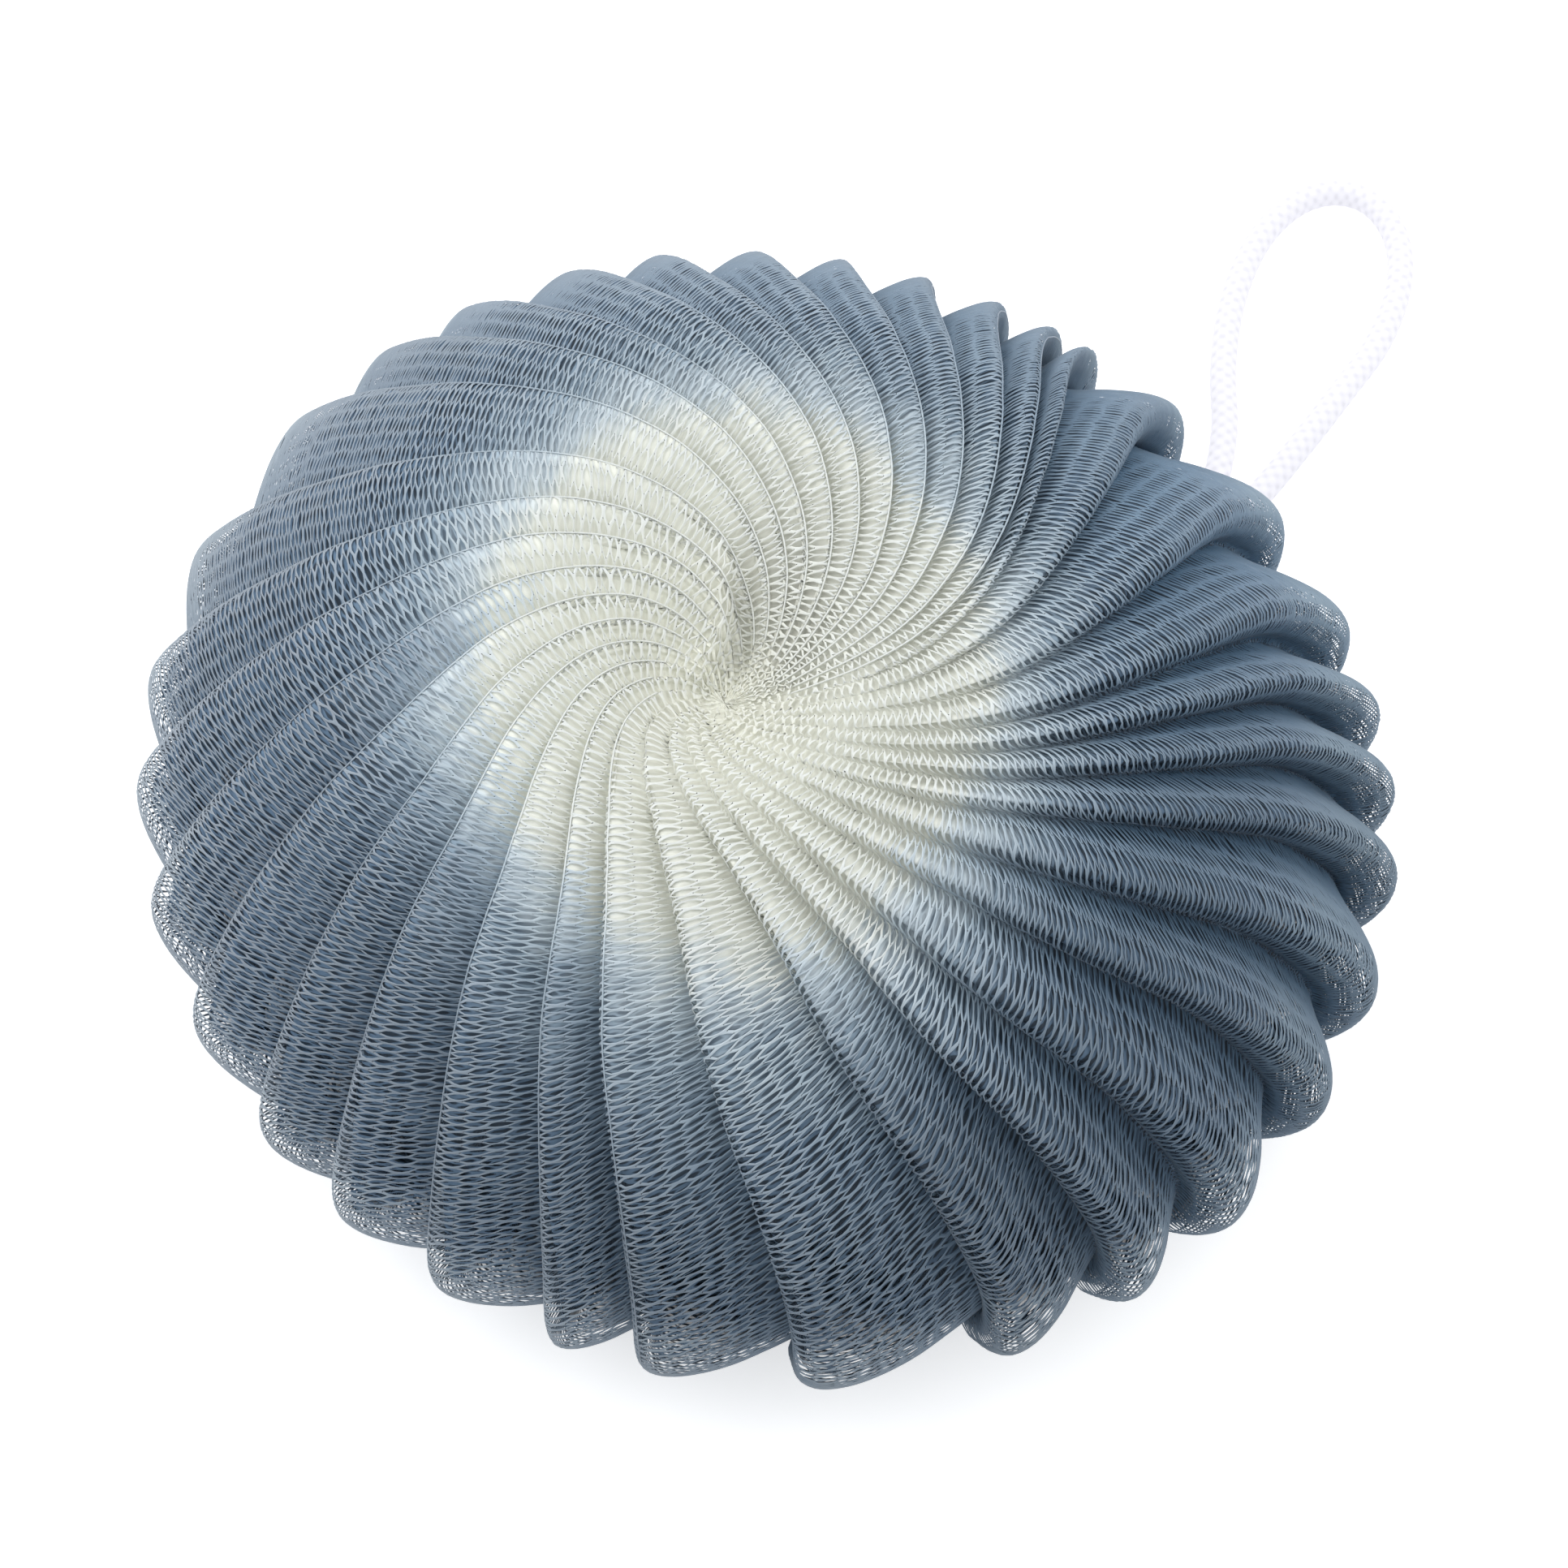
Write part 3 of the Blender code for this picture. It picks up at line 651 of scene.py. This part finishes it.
def under_layer(name, tables):
    """The layer of net under the outer one: a closed sheet that its material draws as cells."""
    steps = 2
    each = LEAF_POINTS * steps
    around = LEAVES * each
    v, t = course_places(LAYER_STEP)
    # it lies level under the dimple's tight pleats, and follows the others
    rings = net_rings(t, smooth((v - LAYER_LEVEL[0]) / LAYER_LEVEL[1]))
    rings = np.concatenate([leaf_cloth(rings, leaf, steps)[:, :-1] for leaf in range(LEAVES)], axis=1)
    normal = np.cross(np.roll(rings, -1, 1) - np.roll(rings, 1, 1), np.gradient(rings, axis=0))
    normal /= np.maximum(np.linalg.norm(normal, axis=2, keepdims=True), 1e-9)
    # the gap is small at the dimple and inside each crest, and wide at the rim's tips
    rise = 0.5 * (np.array(LEANING_LEAF)[:, 1] + np.array(UPRIGHT_LEAF)[:, 1])
    rise = np.interp(np.arange(each) / steps, np.arange(LEAF_POINTS + 1), np.append(rise, 0.0))
    rise = np.tile(rise, LEAVES)[None, :, None]
    tips = np.exp(-((t - RIM_ROW) / np.where(t < RIM_ROW, *TIP_ROWS)) ** 2)[:, None, None]
    gap = LAYER_GAP[0] + (LAYER_GAP[1] - LAYER_GAP[0]) * smooth(v / LAYER_FAR)[:, None, None]
    # directions that change slowly across a pleat keep the layer inside its narrow crests
    normal = sum(np.roll(normal, k, 1) * (3 - abs(k)) for k in range(-2, 3))
    normal /= np.maximum(np.linalg.norm(normal, axis=2, keepdims=True), 1e-9)
    closer, begin, over = CREST_CLOSER
    near = closer * smooth((v - begin) / over)[:, None, None] * rise ** 3
    # a leaning leaf is thin, so that the layer keeps close to the flank it hides
    leans = [float(smooth((0.3 - leaf_facing(leaf, UPRIGHT_DIRECTION)) / 0.5)) for leaf in range(LEAVES)]
    hidden = smooth(np.arange(each) / steps - CREST) * (np.arange(each) > CREST * steps)
    hidden = (np.array(leans)[:, None] * hidden).ravel()[None, :, None]
    gap = gap * (1.0 - near * (1.0 - tips)) * (1.0 - FLANK_CLOSER * hidden * (1.0 - tips))
    rings = rings - (gap + RIM_GAP * tips * rise ** 2) * normal
    rings[0] = rings[1].mean(0)
    rings[-1] = rings[-1].mean(0)
    mesh = grid(name, around, len(t) - 1)
    co = points_of(mesh)
    a = np.rint((co[:, 0] + 0.5) * around).astype(int)
    b = np.rint((co[:, 1] + 0.5) * (len(t) - 1)).astype(int)
    place = rings[b, a % around]
    set_points(mesh, place - SHIFT)
    # the cloth's own lengths, from each leaf's crest and turned to the leaf's own courses
    corner = corners_of(mesh)
    leaf_here = a[corner].reshape(-1, 4).min(1).repeat(4) // each
    reach = np.empty((LEAVES, len(t), each + 1))
    slants = np.empty((LEAVES, len(t)))
    close = np.empty(LEAVES)
    for leaf in range(LEAVES):
        points = rings[:, (np.arange(each + 1) + leaf * each) % around]
        gaps = np.linalg.norm(np.diff(points, axis=1), axis=2)
        along = np.concatenate((np.zeros((len(t), 1)), np.cumsum(gaps, axis=1)), axis=1)
        reach[leaf] = along - along[:, CREST * steps, None]
        slants[leaf] = np.interp(v, COURSE_V, tables[leaf][4])
        close[leaf] = closeness(leaf)
    row = b[corner]
    u = reach[leaf_here, row, a[corner] - leaf_here * each]
    sine = slants[leaf_here, row]
    level = (v[row] - u * sine) / close[leaf_here]
    set_cloth(mesh, np.stack((u * np.sqrt(1.0 - sine ** 2), level), -1))
    see_through = (tips * rise ** 2)[b, a % around, 0]
    deep = 1.0 - rise[0, a % around, 0]
    dye = dye_share(place, v[b])
    # painted light: the second layer is paler on the lit left side, most where it is dyed
    paler = np.array([PAINTED_PALER * max(0.0, leaf_facing(leaf, PAINTED_PALE_DIRECTION)) for leaf in range(LEAVES)])
    tone = 1.0 + paler[(a % around) // each] * (0.35 + 0.65 * smooth(2.0 * dye - 2.2))
    # the layers under the crease's open side are in their own shade
    x, y = (place[:, 0] - SHADE[0]) / SHADE[2], (place[:, 1] - SHADE[1]) / SHADE[3]
    tone = tone * (1.0 - SHADE_DEPTH * np.exp(-x ** 2 - y ** 2))
    set_values(mesh, dye=dye, deep=deep, tip=see_through, tone=tone)
    sew(mesh)
    return show(name, mesh)


# The cord's route on the floor, as in the solid
LOOP_ROUTE = ((49.4, 45.0), (55.9, 53.4), (58.5, 63.0), (58.9, 73.4), (60.6, 83.6), (64.2, 92.8),
              (69.4, 99.0), (75.0, 101.1), (79.8, 99.2), (82.6, 93.6), (82.4, 86.0), (79.2, 77.4),
              (73.8, 69.4), (68.2, 61.6), (62.4, 54.0), (54.6, 45.2))


def knot_place():
    """The middle of the knot beside the binding."""
    away = NECK_RADIUS + NECK_PLEAT + 2.0 * SEAT_GAP + CORD_DIAMETER + KNOT_RADIUS
    way = math.radians(CORD_DIRECTION)
    return np.array((away * math.cos(way), away * math.sin(way), BINDING_FOOT + 0.5 * CORD_DIAMETER))


def cord_path(spacing):
    """Points along the cord, from the knot under the pouf, round the loop and back."""
    way = math.radians(CORD_DIRECTION)
    knot = knot_place()
    start = math.hypot(knot[0], knot[1]) + KNOT_RADIUS + SEAT_GAP
    lie = FLOOR_GAP + 0.5 * CORD_DIAMETER
    left, right = [], []
    for station, share in LEG_STATIONS:
        ahead, z = start + station, lie + share * (knot[2] - lie)
        for points, side in ((left, 0.5 * LEG_SPACING), (right, -0.5 * LEG_SPACING)):
            points.append((ahead * math.cos(way) - side * math.sin(way),
                           ahead * math.sin(way) + side * math.cos(way), z))
    route = np.array(left + [(x, y, lie) for x, y in LOOP_ROUTE] + right[::-1])
    fine = spline(route, np.linspace(0.0, len(route) - 1.0, 40 * len(route)))
    length = np.concatenate(([0.0], np.cumsum(np.linalg.norm(np.diff(fine, axis=0), axis=1))))
    even = np.linspace(0.0, length[-1], int(length[-1] / spacing) + 1)
    line = np.stack([np.interp(even, length, fine[:, k]) for k in range(3)], -1)
    return line - SHIFT, float(length[-1])


def tube(line, radius, around, swell):
    """A rolled-up grid along a line of points, closed to a point at both ends.

    swell gives the radius's share from the turn and the length, which also make the UV map.
    """
    courses = len(line) - 1
    mesh = grid("tube", around, courses)
    co = points_of(mesh)
    a = (co[:, 0] + 0.5) * TAU
    b = np.rint((co[:, 1] + 0.5) * courses).astype(int)
    along = np.gradient(line, axis=0)
    along /= np.linalg.norm(along, axis=1, keepdims=True)
    side = np.cross(along, np.array((0.0, 0.0, 1.0)))
    side /= np.maximum(np.linalg.norm(side, axis=1, keepdims=True), 1e-9)
    top = np.cross(side, along)
    length = np.concatenate(([0.0], np.cumsum(np.linalg.norm(np.diff(line, axis=0), axis=1))))
    ends = np.clip(np.minimum(length[b], length[-1] - length[b]) / radius, 0.0, 1.0)
    reach = radius * swell(a, length[b]) * np.sqrt(1.0 - (1.0 - ends) ** 2)
    place = line[b] + reach[:, None] * (np.cos(a)[:, None] * side[b] + np.sin(a)[:, None] * top[b])
    set_points(mesh, place)
    set_cloth(mesh, np.stack((a * radius, length[b]), -1)[corners_of(mesh)])
    sew(mesh)
    return mesh


def plaited(turn, length):
    """The braid's strands pass over each other in a herringbone."""
    return 0.98 + 0.025 * np.cos(0.5 * STRANDS * turn) * np.cos(TAU * length / BRAID_LAY)


def looped(turn, length):
    """Loops side by side along a crest."""
    return 0.85 + 0.15 * np.cos(TAU * length / RAIL_LOOP)


def edge_lines(name, tables, chance):
    """The lines of loops where the cloth turns over along the leaning leaves' edges."""
    whole = bmesh.new()
    for leaf in range(LEAVES):
        if leaf_facing(leaf, UPRIGHT_DIRECTION) > RAIL_SIDE:
            continue
        table, normals, _, front, _ = tables[leaf]
        begin = RAIL_FROM[0] + chance.uniform(0.0, RAIL_FROM[1])
        v = np.arange(begin, RIM_V + RAIL_PAST, 0.5 * RAIL_LOOP)
        u = RAIL_PLACE * np.interp(v, COURSE_V, front) + 0.1 * patches(v, v, 5.0, 5.0, chance)
        line = read_table(table, u, v) - 0.5 * RAIL * read_table(normals, u, v)
        mesh = tube(line - SHIFT, RAIL, RAIL_AROUND, looped)
        place = points_of(mesh) / MM + SHIFT
        near = np.linalg.norm(place[:, None, :2] - line[None, ::4, :2], axis=2).argmin(1)
        dye = dye_share(place, v[::4][near])
        set_values(mesh, dye=dye, deep=np.full(len(place), 0.15), **leaf_values(leaf, dye, chance))
        whole.from_mesh(mesh)
        bpy.data.meshes.remove(mesh)
    mesh = bpy.data.meshes.new(name)
    whole.to_mesh(mesh)
    whole.free()
    return show(name, mesh)


def cloth_dye(tree, *scales):
    """The dye over the cloth: undyed in the middle, a paler step, then the full colour, and paler again near
    the rim as painted light through the leaves' tips.

    The dye crept along the cloth in soft blotches and took each course of yarn a little differently.
    """
    dye = add(tree, "ShaderNodeAttribute", {"attribute_name": "dye"}).outputs["Fac"]
    place = add(tree, "ShaderNodeTexCoord").outputs["Object"]
    blotch = add(tree, "ShaderNodeTexNoise", Vector=place, Scale=90.0, Detail=3.0).outputs["Fac"]
    cloth = add(tree, "ShaderNodeUVMap", {"uv_map": "cloth"}).outputs["UV"]
    courses = add(tree, "ShaderNodeMapping", Vector=cloth, Scale=(18.0, 110.0, 1.0))
    course = add(tree, "ShaderNodeTexNoise", Vector=courses.outputs[0], Scale=1.0, Detail=2.0).outputs["Fac"]
    spread = add(tree, "ShaderNodeMath", {"operation": "MULTIPLY_ADD"}, i0=blotch, i1=0.26, i2=dye)
    crept = add(tree, "ShaderNodeMath", {"operation": "MULTIPLY_ADD"}, i0=course, i1=0.22,
                i2=spread.outputs[0])
    share = add(tree, "ShaderNodeMath", {"operation": "MULTIPLY_ADD"}, i0=crept.outputs[0], i1=1.0 / 3.0,
                i2=-0.08)
    return [add(tree, "ShaderNodeValToRGB", {"stops": stops}, Fac=share.outputs[0]).outputs["Color"]
            for stops in scales]


def yarn_material():
    """Texturised polyester yarn, knitted and dip dyed. It is soft and slightly shiny along its bends."""
    made, tree, shader = new_material("dip_dyed_polyester_net")
    # painted light: the ramps turn paler near the rim, where light comes through the leaves' tips
    crest, painted_groove_shade = cloth_dye(tree, ((0.0, "DCDDD6"), (0.26, "D5D9D6"), (0.30, "BBC6CC"), (0.34, "A6B3BB"),
                                   (0.40, "93A1AD"), (0.50, "808E9B"), (0.62, "818F9D"), (0.70, "95A3AE"),
                                   (0.90, "83919E")),
                            ((0.0, "D9D9CB"), (0.26, "D7D9D0"), (0.30, "BCC8CD"), (0.34, "9AACB8"),
                             (0.40, "768C9F"), (0.50, "647B90"), (0.62, "657C91"), (0.90, "6C8399")))
    # painted shade: the yarn turns from the crest colours to darker, bluer ones towards the grooves
    deep = add(tree, "ShaderNodeAttribute", {"attribute_name": "deep"}).outputs["Fac"]
    colour = add(tree, "ShaderNodeMix", {"data_type": "RGBA"}, Factor=deep, A=crest, B=painted_groove_shade)
    tone = add(tree, "ShaderNodeAttribute", {"attribute_name": "tone"}).outputs["Fac"]
    blue = add(tree, "ShaderNodeAttribute", {"attribute_name": "blue"}).outputs["Fac"]
    toned = add(tree, "ShaderNodeHueSaturation", Value=tone, Saturation=blue, Color=colour.outputs["Result"])
    tree.links.new(toned.outputs["Color"], shader.inputs["Base Color"])
    shader.inputs["Roughness"].default_value = 0.45
    shader.inputs["Sheen Weight"].default_value = 0.15
    return made


def under_material():
    """The same net one layer down, seen through the eyes: its yarn painted in shade, and gaps painted dark
    for the shaded layers further in.
    """
    made, tree, shader = new_material("dip_dyed_polyester_net_inner")
    yarn, gap = cloth_dye(tree, ((0.0, "E2E2D4"), (0.26, "DFE0D6"), (0.30, "C4CED2"), (0.35, "8A9CAA"),
                                 (0.42, "546A7F"), (0.64, "4B6177"), (0.90, "53697E")),
                          ((0.0, "DAD9CA"), (0.26, "D6D7CD"), (0.30, "A8B2B8"), (0.35, "546370"),
                           (0.42, "22303D"), (0.64, "1D2A36"), (0.90, "263441")))
    cloth = add(tree, "ShaderNodeUVMap", {"uv_map": "cloth"}).outputs["UV"]
    slip = add(tree, "ShaderNodeTexNoise", Vector=cloth, Scale=40.0, Detail=1.0).outputs["Color"]
    slipped = add(tree, "ShaderNodeVectorMath", {"operation": "MULTIPLY_ADD"},
                  i0=slip, i1=(0.03, 0.008, 0.0), i2=cloth)
    across, along = cloth_waves(tree, slipped.outputs[0], (CELL_LENGTH, CELL_WIDTH))
    both = add(tree, "ShaderNodeMath", {"operation": "ADD"}, i0=across, i1=along)
    off = add(tree, "ShaderNodeMath", {"operation": "ABSOLUTE"}, i0=both.outputs[0])
    patchy = add(tree, "ShaderNodeMapping", Vector=cloth, Scale=(30.0, 80.0, 1.0)).outputs[0]
    patch = add(tree, "ShaderNodeTexNoise", Vector=patchy, Scale=1.0, Detail=1.0).outputs["Fac"]
    uneven = add(tree, "ShaderNodeMath", {"operation": "MULTIPLY_ADD"}, i0=patch, i1=1.6, i2=off.outputs[0])
    # the yarn is doubled where the cloth turns over a crest
    deep = add(tree, "ShaderNodeAttribute", {"attribute_name": "deep"}).outputs["Fac"]
    turned = add(tree, "ShaderNodeMapRange", Value=deep, From_Min=0.05, From_Max=0.0, To_Max=-0.3)
    closer = add(tree, "ShaderNodeMath", {"operation": "ADD"}, i0=uneven.outputs[0],
                 i1=turned.outputs["Result"]).outputs[0]
    share = add(tree, "ShaderNodeMapRange", Value=closer, From_Min=1.9, From_Max=1.2).outputs["Result"]
    # painted shade: the gaps take a dark colour for the shaded layers further in
    mixed = add(tree, "ShaderNodeMix", {"data_type": "RGBA"}, Factor=share, A=gap, B=yarn)
    tone = add(tree, "ShaderNodeAttribute", {"attribute_name": "tone"}).outputs["Fac"]
    toned = add(tree, "ShaderNodeHueSaturation", Value=tone, Color=mixed.outputs["Result"])
    tree.links.new(toned.outputs["Color"], shader.inputs["Base Color"])
    shader.inputs["Roughness"].default_value = 0.7
    # its gaps are real only where the tips of the leaves let light through
    tip = add(tree, "ShaderNodeAttribute", {"attribute_name": "tip"}).outputs["Fac"]
    lets = add(tree, "ShaderNodeMapRange", Value=tip, From_Min=0.08, From_Max=0.4).outputs["Result"]
    bare = add(tree, "ShaderNodeMath", {"operation": "SUBTRACT"}, i0=1.0, i1=share)
    hole = add(tree, "ShaderNodeMath", {"operation": "MULTIPLY"}, i0=lets, i1=bare.outputs[0])
    solid = add(tree, "ShaderNodeMath", {"operation": "SUBTRACT"}, i0=1.0, i1=hole.outputs[0])
    tree.links.new(solid.outputs[0], shader.inputs["Alpha"])
    return made


def cord_material():
    """Bleached polyester braid: bright white, matt, with painted shade in the grooves between its strands
    and a painted glow that lifts its shaded side.
    """
    made, tree, shader = new_material("bleached_polyester_braid")
    cloth = add(tree, "ShaderNodeUVMap", {"uv_map": "cloth"}).outputs["UV"]
    around, along = cloth_waves(tree, cloth, (math.pi * CORD_DIAMETER * 2.0 / STRANDS, BRAID_LAY))
    place = add(tree, "ShaderNodeTexCoord").outputs["Object"]
    fibre = add(tree, "ShaderNodeTexNoise", Vector=place, Scale=1200.0, Detail=2.0).outputs["Fac"]
    strands = add(tree, "ShaderNodeMath", {"operation": "MULTIPLY"}, i0=around, i1=along)
    uneven = add(tree, "ShaderNodeMath", {"operation": "MULTIPLY_ADD"}, i0=fibre, i1=1.2,
                 i2=strands.outputs[0])
    share = add(tree, "ShaderNodeMapRange", Value=uneven.outputs[0], From_Min=-0.4, From_Max=1.4)
    # painted glow: it gives back light of its own, darker in the grooves, so that its shaded side stays near
    # white
    for socket, stops in (("Base Color", ((0.0, "9C9BA1"), (0.5, "A3A2A8"), (1.0, "A8A7AD"))),
                          ("Emission Color", ((0.0, "E4E3EA"), (0.4, "EEEDF4"), (1.0, "F3F2F8")))):
        colour = add(tree, "ShaderNodeValToRGB", {"stops": stops}, Fac=share.outputs["Result"])
        tree.links.new(colour.outputs["Color"], shader.inputs[socket])
    shader.inputs["Emission Strength"].default_value = 0.6
    bump = add(tree, "ShaderNodeBump", Height=fibre, Strength=0.3, Distance=0.0001)
    tree.links.new(bump.outputs["Normal"], shader.inputs["Normal"])
    shader.inputs["Roughness"].default_value = 0.6
    return made


def stage():
    """A pale floor that the camera sees as white where it is lit, soft lamps and the camera."""
    mesh = grid("floor", 1, 1, 3.0)
    floor = bpy.data.objects.new("floor", mesh)
    bpy.context.scene.collection.objects.link(floor)
    made, tree, shader = new_material("white_paper_sweep")
    shader.inputs["Base Color"].default_value = linear("EDEDED")
    shader.inputs["Roughness"].default_value = 0.9
    path = add(tree, "ShaderNodeLightPath")
    seen = add(tree, "ShaderNodeMath", {"operation": "MULTIPLY"}, i0=path.outputs["Is Camera Ray"], i1=0.5)
    tree.links.new(seen.outputs[0], shader.inputs["Emission Strength"])
    shader.inputs["Emission Color"].default_value = (1.0, 1.0, 1.0, 1.0)
    mesh.materials.append(made)
    world = bpy.data.worlds.new("studio")
    bpy.context.scene.world = world
    world.use_nodes = True
    tree = world.node_tree
    base = tree.nodes["Background"]
    base.inputs["Color"].default_value = linear("EFF2F6")
    base.inputs["Strength"].default_value = 1.0
    white = add(tree, "ShaderNodeBackground", Color=(1.0, 1.0, 1.0, 1.0), Strength=1.0)
    path = add(tree, "ShaderNodeLightPath")
    seen = add(tree, "ShaderNodeMath", {"operation": "MAXIMUM"}, i0=path.outputs["Is Camera Ray"],
               i1=path.outputs["Is Glossy Ray"])
    mix = add(tree, "ShaderNodeMixShader", i0=seen.outputs[0], i1=base.outputs[0], i2=white.outputs[0])
    tree.links.new(mix.outputs[0], tree.nodes["World Output"].inputs["Surface"])
    for name, place, size, power in LAMPS:
        lamp = bpy.data.lights.new(name, "AREA")
        lamp.shape = "DISK"
        lamp.size = size
        lamp.energy = power
        item = bpy.data.objects.new(name, lamp)
        item.location = place
        item.rotation_euler = (Vector(LAMP_TARGET) - Vector(place)).to_track_quat("-Z", "Y").to_euler()
        bpy.context.scene.collection.objects.link(item)
    lens = bpy.data.cameras.new("camera")
    lens.lens = CAMERA_LENS
    lens.sensor_width = 36.0
    lens.clip_start = 0.01
    lens.clip_end = 20.0
    camera = bpy.data.objects.new("camera", lens)
    target = Vector(CAMERA_TARGET) * MM
    tilt = math.radians(CAMERA_TILT)
    camera.location = target + Vector((0.0, -math.cos(tilt), math.sin(tilt))) * CAMERA_AWAY
    camera.rotation_euler = (target - camera.location).to_track_quat("-Z", "Y").to_euler()
    bpy.context.scene.collection.objects.link(camera)
    bpy.context.scene.camera = camera
    bpy.context.scene.view_settings.view_transform = "Standard"


def main():
    stage()
    chance = np.random.default_rng(33)
    yarn, inner, braid = yarn_material(), under_material(), cord_material()

    line, length = cord_path(CORD_STEP)
    loop = show("cord_loop", tube(line, 0.5 * CORD_DIAMETER, CORD_AROUND, plaited))
    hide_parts("hanging_cord")
    loop.data.materials.append(braid)
    for node in ("neck_binding", "cord_knot"):
        for held in bpy.data.objects[node].material_slots:
            held.material = braid

    rings = net_rings(COURSE_T)
    tables = []
    for leaf in range(LEAVES):
        table, back, front = laid_out(leaf_cloth(rings, leaf))
        tables.append((table, outward(table), back, front, leaf_slant(table, leaf)))
    fine = 2
    top_cell, top_end = (CELL_LENGTH, CELL_WIDTH), RIM_V + UNDER_FROM
    top = flat_net(0.0, top_end / CLOSEST, top_cell, fine)
    below = flat_net(top_end, COURSE_V[-1] / CLOSEST, UNDER_CELL, 0)
    pieces = [(net_piece(f"net_top_{number + 1}", top, group, tables, chance, 0.97, top_cell, top_end), yarn)
              for number, group in enumerate(np.array_split(np.arange(LEAVES), 6))]
    pieces += [(net_piece(f"net_underside_{number + 1}", below, group, tables, chance, 1.0, UNDER_CELL,
                          COURSE_V[-1]), yarn)
               for number, group in enumerate(np.array_split(np.arange(LEAVES), 2))]
    pieces.append((edge_lines("net_edge_loops", tables, chance), yarn))
    second = under_layer("net_second_layer", tables)
    pieces.append((second, inner))
    for piece, material in pieces:
        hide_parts("mesh_body")
        piece.data.materials.append(material)


main()
